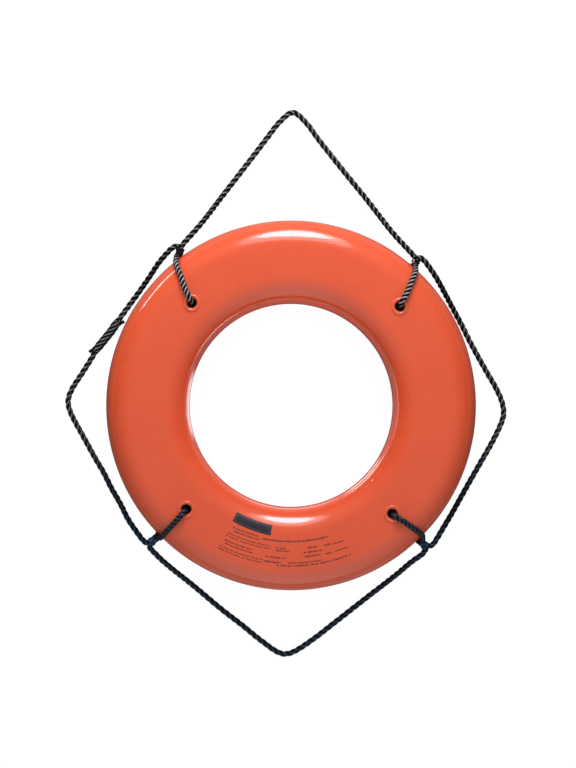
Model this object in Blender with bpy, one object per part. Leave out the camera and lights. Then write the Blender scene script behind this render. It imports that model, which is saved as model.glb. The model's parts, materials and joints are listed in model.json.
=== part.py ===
"""Life ring: a foam core in a smooth skin, with four rope holes and a grab line.

The ring lies on its back. Its axis is Z, its front faces +Z, and +Y is the top of the ring. The
grab line's rear stretches run under the rear eyelets and touch the ground, which is Z = 0.
"""

import math
from collections import namedtuple

import bmesh
import bpy
from mathutils import Vector

# Ring, in metres
OUTER_R = 0.3048
SECTION_W = 0.1375
SECTION_H = 0.089
SKIN_T = 0.0016

# Eyelets
BORE_R = 0.010
BARREL_T = 0.002
LIP_ROUND = 0.002
SPIGOT_L = 0.006

# Grab line and the sleeves that seize it
ROPE_D = 0.0095
SLEEVE_L = 0.0085
SLEEVE_T = 0.0012
SKIRT_L = 0.003
SKIRT_FLARE = 0.003
ENTRY_LEAD = 0.0036
LIP_BEND_R = 0.010
EXIT_BEND_R = 0.007
ROPE_SPACING = 2.2 * ROPE_D

# Fits
CLEAR = 0.0003
FACET_ROOM = 0.0003

# Fineness of the round shapes
RING_STEPS = 60
FLANK_STEPS = 8
BORE_STEPS = 16
LIP_STEPS = 5
SLEEVE_STEPS = 8
OVER_STEPS = 5
ACROSS_STEPS = 7
LINE_STEPS = 12
ROPE_SIDES_RESOLUTION = 2
BEND_STEP = 25
NOSE_LATITUDES = (40, 72)

# Sizes that follow from the ones above
ROPE_R = ROPE_D / 2
HALF_H = SECTION_H / 2
FLANK_C = OUTER_R - HALF_H
INNER_C = OUTER_R - SECTION_W + HALF_H
LIP_C = BORE_R + LIP_ROUND
LIFT = LIP_ROUND + CLEAR + ROPE_R
MID_Z = LIFT + ROPE_R + HALF_H
BARREL_R = BORE_R + BARREL_T
OVER_R = HALF_H + CLEAR + FACET_ROOM + ROPE_R
SEAT = ROPE_R + CLEAR / 2
BIGHT_LEAD = 1.2 * ROPE_D

ORIGIN = Vector((0.0, 0.0, 0.0))
UP = Vector((0.0, 0.0, 1.0))

# Where the rope leaves the crest of the lip and the flank, in degrees above the ring's mid plane
CREST = 82.0
LEAVE = 35.0

# One corner of the grab line. Angles are in degrees round the ring from +X towards +Y. The hole is
# given by its distance from the ring's axis and its angle, and out is the sleeve's distance from
# the ring's edge. Each Run is the rope on the front or the back: the angle at which it leaves the
# flank, its heading through the sleeve and its heading at its end.
Corner = namedtuple("Corner", "name reach hole sleeve out front back")
Run = namedtuple("Run", "leave through end")
CORNERS = (
    Corner("upper_left", 0.2318, 134.0, 125.5, 0.0104, Run(129.0, 70, 55), Run(127.4, 92, 222)),
    Corner("upper_right", 0.2390, 42.4, 49.4, 0.0118, Run(47.5, 78, -54), Run(49.5, 100, 130)),
    Corner("lower_left", 0.2392, 224.7, 224.4, 0.0140, Run(225.4, 234, 318), Run(223.5, 214, 122)),
    Corner("lower_right", 0.2402, 313.1, 313.65, 0.0137, Run(315.3, -58, -132), Run(313.3, -36, 58)),
)

# The free bights, the swing that each belongs to, and the loop ends that hold it: a corner, and 1
# for its front run or -1 for its back run. The route goes on from the first of them, as degrees
# round the ring, millimetres beyond its edge and millimetres above the ground.
Bight = namedtuple("Bight", "name swing ends route")
BIGHTS = (
    Bight("grab_line_top", "top", (("upper_left", 1), ("upper_right", -1)), (
        (116.4, 30, 51), (112.0, 46, 32), (107.9, 65, 13), (103.1, 90, 5), (98.8, 117, 5),
        (95.1, 146, 5), (92.2, 172, 5), (89.6, 187, 5), (86.9, 170, 5), (84.2, 145, 5),
        (80.4, 117, 5), (76.0, 91, 5), (71.0, 68, 7), (65.4, 46, 19), (59.2, 27, 40),
    )),
    Bight("grab_line_right", "right", (("upper_right", 1), ("lower_right", -1)), (
        (41.7, 15, 52), (36.4, 12, 32), (30.8, 11, 13), (25.3, 12, 5), (19.9, 14, 5),
        (14.5, 20, 5), (9.5, 29, 5), (4.7, 41, 5), (0.8, 50, 5), (-2.6, 53, 5), (-5.9, 48, 5),
        (-11.0, 38, 5), (-17.8, 27, 5), (-23.0, 22, 6), (-28.4, 19, 15), (-33.7, 18, 31),
        (-39.0, 19, 46),
    )),
    Bight("grab_line_bottom", "bottom", (("lower_left", 1), ("lower_right", 1)), (
        (230.4, 28, 55), (235.5, 32, 36), (240.7, 38, 16), (245.5, 46, 6), (251.7, 59, 5),
        (257.4, 74, 5), (262.7, 94, 5), (267.6, 113, 5), (270.3, 111, 5), (275.3, 91, 5),
        (280.5, 71, 5), (286.3, 54, 5), (292.5, 41, 6), (297.4, 33, 17), (302.5, 26, 37),
        (307.8, 21, 55),
    )),
    Bight("grab_line_left_upper", "left", (("upper_left", -1),), (
        (132.5, 18, 42), (137.8, 14, 25), (143.3, 13, 10), (148.7, 14, 5), (154.1, 22, 5),
        (157.6, 25, 5), (160.9, 31, 5), (165.2, 43, 5),
    )),
    Bight("grab_line_left_lower", "left", (("lower_left", -1),), (
        (215.3, 25, 42), (210.1, 24, 25), (204.9, 27, 11), (199.8, 30, 5), (194.7, 37, 5),
        (188.3, 49, 5), (182.3, 65, 5), (179.1, 70, 5), (176.1, 65, 5), (171.6, 51, 5),
        (167.4, 38, 8), (164.1, 30, 13), (160.9, 23, 13), (157.6, 17, 13), (153.9, 8, 12),
    )),
)

# Colours as red, green and blue, with each one's roughness
SKIN_FINISH = ((0.79, 0.115, 0.05), 0.25)
FOAM_FINISH = ((0.82, 0.80, 0.74), 0.9)
EYELET_FINISH = ((0.74, 0.10, 0.045), 0.3)
ROPE_FINISH = ((0.008, 0.010, 0.014), 0.5)
SLEEVE_FINISH = ((0.006, 0.022, 0.055), 0.35)


def polar(radius, degrees, height=0.0):
    angle = math.radians(degrees)
    return Vector((radius * math.cos(angle), radius * math.sin(angle), height))


def heading(degrees):
    return polar(1.0, degrees)


def add_object(name, data, finish):
    """Put the data in the scene as a named object with a material of its own."""
    obj = bpy.data.objects.new(name, data)
    bpy.context.scene.collection.objects.link(obj)
    material = bpy.data.materials.new(name)
    material.use_nodes = True
    colour, roughness = finish
    shader = material.node_tree.nodes["Principled BSDF"]
    shader.inputs["Base Color"].default_value = (*colour, 1.0)
    shader.inputs["Roughness"].default_value = roughness
    shader.inputs["Metallic"].default_value = 0.0
    material.diffuse_color = (*colour, 1.0)
    data.materials.append(material)
    return obj


def smooth_shaded(mesh):
    mesh.shade_smooth()
    mesh.set_sharp_from_angle(angle=math.radians(40))
    return mesh


def as_mesh(name, bm):
    bmesh.ops.recalc_face_normals(bm, faces=bm.faces)
    mesh = bpy.data.meshes.new(name)
    bm.to_mesh(mesh)
    bm.free()
    return smooth_shaded(mesh)


def turned(name, profile, steps):
    """A closed outline of (radius, height) points, spun all the way round Z."""
    bm = bmesh.new()
    corners = [bm.verts.new((radius, 0.0, height)) for radius, height in profile]
    edges = [bm.edges.new(pair) for pair in zip(corners, corners[1:] + corners[:1])]
    bmesh.ops.spin(
        bm, geom=corners + edges, axis=(0, 0, 1), cent=(0, 0, 0), steps=steps, angle=math.tau
    )
    bmesh.ops.remove_doubles(bm, verts=bm.verts, dist=1e-6)
    return as_mesh(name, bm)


def ring_outline(inset):
    """The ring's section, a half circle on each flank and a flat land between, set in all round."""
    points = []
    for centre, start in ((FLANK_C, -90), (INNER_C, 90)):
        for step in range(FLANK_STEPS + 1):
            spoke = polar(HALF_H - inset, start + 180 * step / FLANK_STEPS)
            points.append((centre + spoke.x, MID_Z + spoke.y))
    return points


def make_cutter(name, mesh):
    cutter = bpy.data.objects.new(name, mesh)
    bpy.context.scene.collection.objects.link(cutter)
    cutter.hide_render = True
    cutter.display_type = "WIRE"
    return cutter


def cut(obj, cutter):
    boolean = obj.modifiers.new(cutter.name, "BOOLEAN")
    boolean.operation = "DIFFERENCE"
    boolean.solver = "EXACT"
    boolean.object = cutter


def make_bore_cutter():
    """Four plain rods, one on each rope hole's axis, a clearance wider than the barrels."""
    bm = bmesh.new()
    for corner in CORNERS:
        made = bmesh.ops.create_cone(
            bm,
            cap_ends=True,
            segments=BORE_STEPS,
            radius1=BARREL_R + CLEAR,
            radius2=BARREL_R + CLEAR,
            depth=2 * SECTION_H,
        )
        bmesh.ops.translate(bm, verts=made["verts"], vec=polar(corner.reach, corner.hole, MID_Z))
    return make_cutter("bore_cutter", as_mesh("bore_cutter", bm))


def make_ring(bores):
    """The foam core, and the skin round it. The rope holes pierce both."""
    hollow = make_cutter("hollow_cutter", turned("hollow_cutter", ring_outline(SKIN_T), RING_STEPS))
    skin = add_object(
        "outer_skin", turned("outer_skin", ring_outline(0.0), RING_STEPS), SKIN_FINISH
    )
    cut(skin, hollow)
    cut(skin, bores)
    core_outline = ring_outline(SKIN_T + CLEAR)
    core = add_object("foam_core", turned("foam_core", core_outline, RING_STEPS), FOAM_FINISH)
    cut(core, bores)


def lip_outline():
    """The eyelet's half round lip, from the bore over to its outer edge, above its land."""
    rise = math.degrees(math.asin(CLEAR / LIP_ROUND))
    points = []
    for step in range(LIP_STEPS + 1):
        spoke = polar(LIP_ROUND, 180 + (rise - 180) * step / LIP_STEPS)
        points.append((LIP_C + spoke.x, HALF_H + spoke.y))
    return points + [(BARREL_R, HALF_H + CLEAR)]


def make_eyelets():
    """A front and a rear eyelet in each hole. The front one's spigot plugs into the rear one."""
    joint_r = BORE_R + BARREL_T / 2
    front_outline = lip_outline() + [
        (BARREL_R, 0.0),
        (joint_r - CLEAR / 2, 0.0),
        (joint_r - CLEAR / 2, -SPIGOT_L),
        (BORE_R, -SPIGOT_L),
    ]
    rear_outline = lip_outline() + [
        (BARREL_R, CLEAR),
        (joint_r + CLEAR / 2, CLEAR),
        (joint_r + CLEAR / 2, SPIGOT_L + CLEAR),
        (BORE_R, SPIGOT_L + CLEAR),
    ]
    front = turned("front_eyelet", front_outline, BORE_STEPS)
    rear = turned("rear_eyelet", rear_outline, BORE_STEPS)
    for corner in CORNERS:
        place = polar(corner.reach, corner.hole, MID_Z)
        add_object("front_eyelet_" + corner.name, front.copy(), EYELET_FINISH).location = place
        eyelet = add_object("rear_eyelet_" + corner.name, rear.copy(), EYELET_FINISH)
        eyelet.location = place
        eyelet.rotation_euler = (math.pi, 0.0, 0.0)


def point_over_flank(hole, along, side, degrees):
    """Where a taut rope lies over the outer flank, at this many degrees above the mid plane."""
    radius = FLANK_C + OVER_R * math.cos(math.radians(degrees))
    reach = hole.dot(along)
    distance = math.sqrt(reach * reach + radius * radius - hole.length_squared) - reach
    point = hole + along * distance
    point.z = MID_Z + side * OVER_R * math.sin(math.radians(degrees))
    return point


def clear_of_flank(point):
    """The point, or the nearest one to it at which a rope lies against the outer flank."""
    radius = math.hypot(point.x, point.y)
    spoke = Vector((radius - FLANK_C, point.z - MID_Z))
    if spoke.length >= OVER_R:
        return point
    spoke *= OVER_R / spoke.length
    share = (FLANK_C + spoke.x) / radius
    return Vector((point.x * share, point.y * share, MID_Z + spoke.y))


def hermite(start, start_slope, end, end_slope, share):
    a, b = share * share, share * share * share
    return (
        start * (2 * b - 3 * a + 1)
        + start_slope * (b - 2 * a + share)
        + end * (3 * a - 2 * b)
        + end_slope * (b - a)
    )


def rope_run(corner, run, side):
    """Centre line from the bore over the lip and the flank, through the sleeve and round its exit.

    Side is 1 on the front of the ring and -1 on the back.
    """
    hole = polar(corner.reach, corner.hole)
    flank_r = FLANK_C + OVER_R * math.cos(math.radians(LEAVE))
    along = (polar(flank_r, run.leave) - hole).normalized()
    points = []
    for step in range(LIP_STEPS + 1):
        spoke = polar(LIP_BEND_R, 180 + (CREST - 180) * step / LIP_STEPS)
        point = hole + along * (LIP_C + CLEAR + spoke.x)
        point.z = MID_Z + side * (HALF_H + LIFT - LIP_BEND_R + spoke.y)
        points.append(point)

    for step in range(OVER_STEPS + 1):
        degrees = CREST + (LEAVE - CREST) * step / OVER_STEPS
        points.append(point_over_flank(hole, along, side, degrees))

    forward = heading(run.through)
    middle = polar(OUTER_R + corner.out, corner.sleeve, MID_Z + side * SEAT)
    entry = middle - forward * (SLEEVE_L / 2 + ENTRY_LEAD)
    last = points[-1]
    slope = (point_over_flank(hole, along, side, LEAVE - 1) - last).normalized()
    chord = (entry - last).length
    for step in range(1, ACROSS_STEPS):
        share = step / ACROSS_STEPS
        across = hermite(last, slope * chord, entry, forward * (chord / 2), share)
        points.append(clear_of_flank(across))
    points.append(entry)

    turn = run.end - run.through
    aside = heading(run.through + math.copysign(90, turn))
    leaving = middle + forward * (SLEEVE_L / 2 + CLEAR)
    bend_steps = math.ceil(abs(turn) / BEND_STEP)
    for step in range(bend_steps + 1):
        angle = math.radians(abs(turn) * step / bend_steps)
        ahead = forward * (EXIT_BEND_R * math.sin(angle))
        points.append(leaving + ahead + aside * (EXIT_BEND_R * (1 - math.cos(angle))))
    return points


def rope_curve(name, line, radius, start=ORIGIN):
    """A round rope, as a curve, along a line of (point, share of the radius), measured from start."""
    curve = bpy.data.curves.new(name, "CURVE")
    curve.dimensions = "3D"
    curve.bevel_depth = radius
    curve.bevel_resolution = ROPE_SIDES_RESOLUTION
    curve.use_fill_caps = True
    spline = curve.splines.new("POLY")
    spline.points.add(len(line) - 1)
    for place, (point, share) in zip(spline.points, line):
        place.co = (*(point - start), 1.0)
        place.radius = share
    return curve


def loop_line(corner):
    """The whole rope loop at a corner, from the exit of its back run to that of its front run."""
    back = rope_run(corner, corner.back, -1)
    front = rope_run(corner, corner.front, 1)
    return [(point, 1.0) for point in back[::-1] + front]


def make_loops():
    for corner in CORNERS:
        name = "rope_loop_" + corner.name
        add_object(name, rope_curve(name, loop_line(corner), ROPE_R), ROPE_FINISH)


def make_groove_cutter(corner):
    """The rope loop, a clearance thicker, as a mesh that cuts the sleeve's skirt free of it."""
    name = "groove_cutter_" + corner.name
    thick = bpy.data.objects.new(name, rope_curve(name, loop_line(corner), ROPE_R + CLEAR))
    bpy.context.scene.collection.objects.link(thick)
    bpy.context.view_layer.update()
    mesh = bpy.data.meshes.new_from_object(thick)
    bpy.data.objects.remove(thick)
    return make_cutter(name, mesh)


def sleeve_outline(place, along, across, station, grow):
    """The sleeve's oval round both parts of the rope, at this distance along it from its middle."""
    lean = max(abs(c.front.through - c.back.through) for c in CORNERS) / 2
    radius = ROPE_R + CLEAR + FACET_ROOM / 2 + grow
    wide = radius + abs(station) * math.tan(math.radians(lean))
    flare = SKIRT_FLARE if station < -SLEEVE_L / 2 else 0.0
    points = []
    for start, lift in ((0, SEAT), (180, -SEAT)):
        for step in range(SLEEVE_STEPS + 1):
            spoke = polar(1.0, start + 180 * step / SLEEVE_STEPS)
            height = lift + spoke.y * (radius + flare)
            points.append(place + along * station + across * (spoke.x * wide) + UP * height)
    return points


def make_sleeves():
    """A short oval tube at each corner, round both parts of the rope, with a skirt on the ring's side."""
    stations = (-SLEEVE_L / 2 - SKIRT_L, -SLEEVE_L / 2, SLEEVE_L / 2)
    for corner in CORNERS:
        along = heading((corner.front.through + corner.back.through) / 2)
        across = Vector((along.y, -along.x, 0.0))
        place = polar(OUTER_R + corner.out, corner.sleeve, MID_Z)
        inside = [sleeve_outline(place, along, across, station, 0.0) for station in stations]
        outside = [sleeve_outline(place, along, across, station, SLEEVE_T) for station in stations]
        bm = bmesh.new()
        loops = [[bm.verts.new(point) for point in outline] for outline in inside + outside[::-1]]
        for near, far in zip(loops, loops[1:] + loops[:1]):
            for index in range(len(near)):
                bm.faces.new((near[index - 1], near[index], far[index], far[index - 1]))
        name = "seizing_sleeve_" + corner.name
        cut(add_object(name, as_mesh(name, bm), SLEEVE_FINISH), make_groove_cutter(corner))


def smooth_line(points):
    """A smooth curve through the points, as closely spaced points."""
    ends = [points[0] * 2 - points[1]] + points + [points[-1] * 2 - points[-2]]
    line = []
    for before, start, end, after in zip(ends, ends[1:], ends[2:], ends[3:]):
        span = (end - start).length
        start_slope = (end - before) * (span / ((start - before).length + span))
        end_slope = (after - start) * (span / ((after - end).length + span))
        for step in range(LINE_STEPS):
            line.append(hermite(start, start_slope, end, end_slope, step / LINE_STEPS))
    return line + [points[-1]]


def evenly_spaced(line, spacing):
    """Points along the line at about this spacing, its two ends included, none below the ground."""
    travelled = [0.0]
    for a, b in zip(line, line[1:]):
        travelled.append(travelled[-1] + (b - a).length)
    count = round(travelled[-1] / spacing)
    points = []
    index = 0
    for step in range(count + 1):
        goal = travelled[-1] * step / count
        while index < len(line) - 2 and travelled[index + 1] < goal:
            index += 1
        share = (goal - travelled[index]) / (travelled[index + 1] - travelled[index])
        point = line[index].lerp(line[index + 1], share)
        point.z = max(point.z, ROPE_R)
        points.append(point)
    return points


def loop_end(corner_name, side):
    """The end of a rope loop, as the centre of the rounded bight end there, and its heading."""
    corner = next(c for c in CORNERS if c.name == corner_name)
    run = corner.front if side > 0 else corner.back
    outward = heading(run.end)
    return rope_run(corner, run, side)[-1] + outward * (ROPE_R + CLEAR), outward


def bight_line(bight):
    """The bight's centre line, which leaves each corner in the direction of the loop's end."""
    centre, outward = loop_end(*bight.ends[0])
    points = [centre, centre + outward * BIGHT_LEAD]
    points += [polar(OUTER_R + out / 1000, angle, height / 1000) for angle, out, height in bight.route]
    for end in bight.ends[1:]:
        centre, outward = loop_end(*end)
        points += [centre + outward * BIGHT_LEAD, centre]
    return evenly_spaced(smooth_line(points), ROPE_SPACING)


def round_nosed(points, held_at_both):
    """A line for make_rope with a round nose on its start, and on its end where that is held too."""
    nose = []
    for latitude in NOSE_LATITUDES:
        spoke = polar(ROPE_R, latitude)
        nose.append((spoke.y, spoke.x / ROPE_R))
    before = (points[0] - points[1]).normalized()
    after = (points[-1] - points[-2]).normalized()
    line = [(points[0] + before * reach, share) for reach, share in reversed(nose)]
    line += [(point, 1.0) for point in points]
    if held_at_both:
        line += [(points[-1] + after * reach, share) for reach, share in nose]
    return line


def make_bights():
    """The free bights. Each swing is an empty halfway between the two loop ends that hold it."""
    for name in ("top", "right", "bottom", "left"):
        bights = [bight for bight in BIGHTS if bight.swing == name]
        held = [loop_end(*end)[0] for bight in bights for end in bight.ends]
        swing = bpy.data.objects.new(name + "_swing", None)
        bpy.context.scene.collection.objects.link(swing)
        swing.location = (held[0] + held[1]) / 2
        bpy.context.view_layer.update()
        for bight in bights:
            line = round_nosed(bight_line(bight), len(bight.ends) == 2)
            curve = rope_curve(bight.name, line, ROPE_R, swing.location)
            add_object(bight.name, curve, ROPE_FINISH).parent = swing


def main():
    for obj in list(bpy.data.objects):
        bpy.data.objects.remove(obj, do_unlink=True)
    bores = make_bore_cutter()
    make_ring(bores)
    make_eyelets()
    make_loops()
    make_sleeves()
    make_bights()


main()
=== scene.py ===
"""Life ring: the looks of the orange ring, its eyelets, the laid grab line and its sleeves."""

import math

import bmesh
import bpy
import numpy as np
from mathutils import Matrix, Vector
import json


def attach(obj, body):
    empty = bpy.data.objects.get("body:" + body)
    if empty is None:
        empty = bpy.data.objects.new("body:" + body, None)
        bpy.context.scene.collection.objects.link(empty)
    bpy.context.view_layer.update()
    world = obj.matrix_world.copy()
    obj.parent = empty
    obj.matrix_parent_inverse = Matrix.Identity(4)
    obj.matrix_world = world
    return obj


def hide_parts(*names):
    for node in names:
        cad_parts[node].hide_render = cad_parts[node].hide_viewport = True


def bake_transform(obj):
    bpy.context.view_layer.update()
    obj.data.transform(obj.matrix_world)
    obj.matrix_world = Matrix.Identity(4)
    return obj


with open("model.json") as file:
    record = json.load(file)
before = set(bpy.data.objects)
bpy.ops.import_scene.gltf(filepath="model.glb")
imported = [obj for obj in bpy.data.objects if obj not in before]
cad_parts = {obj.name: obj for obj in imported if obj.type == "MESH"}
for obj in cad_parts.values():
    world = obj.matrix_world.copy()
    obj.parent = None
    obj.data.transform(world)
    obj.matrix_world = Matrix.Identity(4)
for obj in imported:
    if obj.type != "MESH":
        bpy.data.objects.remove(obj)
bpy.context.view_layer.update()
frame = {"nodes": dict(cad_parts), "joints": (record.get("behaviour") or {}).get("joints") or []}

THIRD = math.tau / 3

# The ring and its rope, in metres, as in the CAD
OUTER_R = 0.3048
SECTION_W = 0.1375
SECTION_H = 0.089
BORE_R = 0.010
BARREL_R = 0.012
LIP_ROUND = 0.002
ROPE_D = 0.0095
ROPE_R = ROPE_D / 2
CLEAR = 0.0003
FACET_ROOM = 0.0003
SLEEVE_L = 0.0085
SKIRT_L = 0.003
ENTRY_LEAD = 0.0036
LIP_BEND_R = 0.010
HALF_H = SECTION_H / 2
FLANK_C = OUTER_R - HALF_H
INNER_C = OUTER_R - SECTION_W + HALF_H
LIP_C = BORE_R + LIP_ROUND
LIFT = LIP_ROUND + CLEAR + ROPE_R
MID_Z = LIFT + ROPE_R + HALF_H
OVER_R = HALF_H + CLEAR + FACET_ROOM + ROPE_R
SEAT = ROPE_R + CLEAR / 2

# Sizes that only the scene has: the bend and the stub where the rope leaves a sleeve, the throat of
# an eyelet, and a sleeve's wall, its waist's depth and width, and how much it's belled
EXIT_BEND_R = 0.0048
EXIT_L = 0.003
THROAT_R = 0.0076
THROAT_RISE = 0.0049
SLEEVE_WALL = 0.0011
WAIST_DEPTH = 0.0009
WAIST_WIDTH = 0.004
SLEEVE_BELL = 0.24

# Where a taut rope meets the flank, and where it leaves it, in degrees above the mid plane
CREST = 82.0
LEAVE = 35.0

# How many points draw each part of a run: over the lip, over the flank, to the sleeve, out of it
LIP_STEPS, FLANK_STEPS, CROSS_STEPS, EXIT_STEPS = 13, 13, 15, 9

# Each corner: the hole's distance from the axis and its angle round the ring, the sleeve's angle
# and its distance beyond the edge, and how far the rope on the front lies to the left of a straight
# line. Then for the front and the back run of rope the angle at which it leaves the flank, its
# heading through the sleeve, its heading after it, and how much later than at the sleeve's own end
# it turns.
CORNERS = {
    "upper_left": (
        0.2318, 134.0, 125.5, 0.0104, 0.0040,
        (128.6, 70, 55, -0.002), (127.4, 92, 205, -0.002),
    ),
    "upper_right": (
        0.2390, 42.4, 49.4, 0.0118, -0.0050,
        (47.5, 76, -36, -0.0047), (49.5, 100, 130, -0.002),
    ),
    "lower_left": (
        0.2392, 224.7, 224.4, 0.0140, 0.0,
        (225.4, 236, 315, 0.0035), (223.5, 206, 134, 0.0045),
    ),
    "lower_right": (
        0.2402, 313.1, 313.65, 0.0137, 0.0045,
        (315.3, -62, -128, -0.001), (313.3, -30, 15, -0.001),
    ),
}

# The bights' routes: degrees round the ring, metres beyond its edge and metres above the floor
TOP_ROUTE = (
    (116.4, 0.030, 0.051), (112.0, 0.046, 0.032), (107.9, 0.065, 0.013), (103.1, 0.090, 0.005),
    (98.8, 0.117, 0.005), (95.1, 0.146, 0.005), (92.2, 0.172, 0.005), (89.6, 0.187, 0.005),
    (86.9, 0.170, 0.005), (84.2, 0.145, 0.005), (80.4, 0.117, 0.005), (76.0, 0.091, 0.005),
    (71.0, 0.068, 0.007), (65.4, 0.046, 0.019), (59.2, 0.027, 0.040),
)
RIGHT_ROUTE = (
    (41.7, 0.015, 0.052), (36.4, 0.012, 0.032), (30.8, 0.011, 0.013), (25.3, 0.012, 0.005),
    (19.9, 0.014, 0.005), (14.5, 0.020, 0.005), (9.5, 0.029, 0.005), (4.7, 0.041, 0.005),
    (0.8, 0.050, 0.005), (-2.6, 0.053, 0.005), (-5.9, 0.048, 0.005), (-11.0, 0.038, 0.005),
    (-17.8, 0.027, 0.005), (-23.0, 0.022, 0.006), (-28.4, 0.019, 0.015), (-33.7, 0.018, 0.031),
    (-39.0, 0.019, 0.046),
)
BOTTOM_ROUTE = (
    (230.4, 0.028, 0.055), (235.5, 0.032, 0.036), (240.7, 0.038, 0.016), (245.5, 0.046, 0.006),
    (251.7, 0.059, 0.005), (257.4, 0.074, 0.005), (262.7, 0.094, 0.005), (267.6, 0.113, 0.005),
    (270.3, 0.111, 0.005), (275.3, 0.091, 0.005), (280.5, 0.071, 0.005), (286.3, 0.054, 0.005),
    (292.5, 0.041, 0.006), (297.4, 0.033, 0.017), (302.5, 0.026, 0.037), (307.8, 0.021, 0.055),
)
LEFT_ROUTE = (
    (132.5, 0.018, 0.042), (137.8, 0.014, 0.025), (143.3, 0.013, 0.010), (148.7, 0.0145, 0.006),
    (153.9, 0.0180, 0.0078), (157.5, 0.0213, 0.0078), (160.8, 0.0275, 0.0078),
    (164.0, 0.0345, 0.0076), (167.4, 0.0405, 0.006), (171.6, 0.051, 0.005), (176.1, 0.065, 0.005),
    (179.1, 0.070, 0.005), (182.3, 0.065, 0.005), (188.3, 0.049, 0.005), (194.7, 0.037, 0.005),
    (199.8, 0.030, 0.005), (204.9, 0.027, 0.011), (210.1, 0.024, 0.025), (215.3, 0.025, 0.042),
)


# Geometry of the rope's centre line


def polar(radius, degrees, height=0.0):
    """The point this far from the ring's axis, this way round it and this high."""
    angle = math.radians(degrees)
    return np.array((radius * math.cos(angle), radius * math.sin(angle), height))


def heading(azimuth, elevation):
    """The direction that points this way round the ring and this high, in degrees."""
    across = math.cos(math.radians(elevation))
    return Vector((*polar(across, azimuth)[:2], math.sin(math.radians(elevation))))


def unit(vector):
    return vector / np.linalg.norm(vector)


def point_over_flank(hole, along, side, degrees):
    """Where a taut rope lies over the outer flank, this many degrees above the mid plane."""
    radius = FLANK_C + OVER_R * math.cos(math.radians(degrees))
    reach = hole @ along
    point = hole + along * (math.sqrt(reach * reach + radius * radius - hole @ hole) - reach)
    point[2] = MID_Z + side * OVER_R * math.sin(math.radians(degrees))
    return point


def clear_of_flank(point):
    """The point, or the nearest one to it at which a rope lies against the outer flank."""
    radius = math.hypot(point[0], point[1])
    spoke = np.array((radius - FLANK_C, point[2] - MID_Z))
    reach = np.linalg.norm(spoke)
    if reach >= OVER_R:
        return point
    spoke *= OVER_R / reach
    share = (FLANK_C + spoke[0]) / radius
    return np.array((point[0] * share, point[1] * share, MID_Z + spoke[1]))


def hermite(start, start_slope, end, end_slope, share):
    """The point this share of the way along a curve with these ends and slopes."""
    a, b = share * share, share * share * share
    return (
        start * (2 * b - 3 * a + 1)
        + start_slope * (b - 2 * a + share)
        + end * (3 * a - 2 * b)
        + end_slope * (b - a)
    )


def rope_run(corner, side):
    """From the bore over the lip and flank, through the sleeve, to where the free bight begins."""
    reach, hole_angle, sleeve_angle, out, bow, front, back = CORNERS[corner]
    leave, through, end, later = front if side > 0 else back
    hole = polar(reach, hole_angle)
    along = unit(polar(FLANK_C + OVER_R * math.cos(math.radians(LEAVE)), leave) - hole)
    points = [np.array((*(hole + along * (LIP_C + CLEAR - LIP_BEND_R))[:2], MID_Z))]
    for degrees in np.linspace(180, CREST, LIP_STEPS):
        spoke = polar(LIP_BEND_R, degrees)
        point = hole + along * (LIP_C + CLEAR + spoke[0])
        point[2] = MID_Z + side * (HALF_H + LIFT - LIP_BEND_R + spoke[1])
        points.append(point)
    crest = point_over_flank(hole, along, side, CREST)
    over = [points[-1] + (crest - points[-1]) * share for share in (0.25, 0.5, 0.75)]
    for degrees in np.linspace(CREST, LEAVE, FLANK_STEPS):
        over.append(point_over_flank(hole, along, side, degrees))
    whole = np.linalg.norm((over[-1] - points[-1])[:2])
    for point in over:
        share = np.linalg.norm((point - points[-1])[:2]) / whole
        aside = np.array((-along[1], along[0], 0.0)) * (bow * math.sin(math.pi * share))
        points.append(clear_of_flank(point + aside) if side > 0 and bow else point)
    forward = polar(1.0, through)
    middle = polar(OUTER_R + out, sleeve_angle, MID_Z + side * SEAT)
    entry = middle - forward * (SLEEVE_L / 2 + ENTRY_LEAD)
    last = points[-1]
    slope = unit(point_over_flank(hole, along, side, LEAVE - 1) - last)
    chord = np.linalg.norm(entry - last)
    for share in np.linspace(0, 1, CROSS_STEPS)[1:-1]:
        across = hermite(last, slope * chord, entry, forward * (chord / 2), share)
        points.append(clear_of_flank(across))
    points.append(entry)
    turn = end - through
    aside = polar(1.0, through + math.copysign(90, turn))
    leaving = middle + forward * (SLEEVE_L / 2 + CLEAR + later)
    for angle in np.radians(np.linspace(0, abs(turn), EXIT_STEPS)):
        ahead = forward * (EXIT_BEND_R * math.sin(angle))
        points.append(leaving + ahead + aside * (EXIT_BEND_R * (1 - math.cos(angle))))
    points.append(points[-1] + polar(EXIT_L, end))
    return points


def smooth_line(points):
    """A smooth curve through the points, as closely spaced points."""
    ends = [points[0] * 2 - points[1]] + points + [points[-1] * 2 - points[-2]]
    line = []
    for before, start, end, after in zip(ends, ends[1:], ends[2:], ends[3:]):
        span = np.linalg.norm(end - start)
        start_slope = (end - before) * (span / (np.linalg.norm(start - before) + span))
        end_slope = (after - start) * (span / (np.linalg.norm(after - end) + span))
        for share in np.arange(12) / 12:
            line.append(hermite(start, start_slope, end, end_slope, share))
    return line + [points[-1]]


def bight_line(route, start, end):
    """The free bight between two loop ends, which it leaves and meets in their own headings."""
    lead = 0.5 * ROPE_D
    first, last = rope_run(*start), rope_run(*end)
    points = [first[-1], first[-1] + unit(first[-1] - first[-2]) * lead]
    points += [polar(OUTER_R + out, angle, height) for angle, out, height in route]
    points += [last[-1] + unit(last[-1] - last[-2]) * lead, last[-1]]
    return smooth_line(points)


def loop_line(corner, first_side):
    """The rope loop at a corner, from one run's end through the bore to the other run's end."""
    return rope_run(corner, first_side)[::-1] + rope_run(corner, -first_side)[1:]


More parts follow.
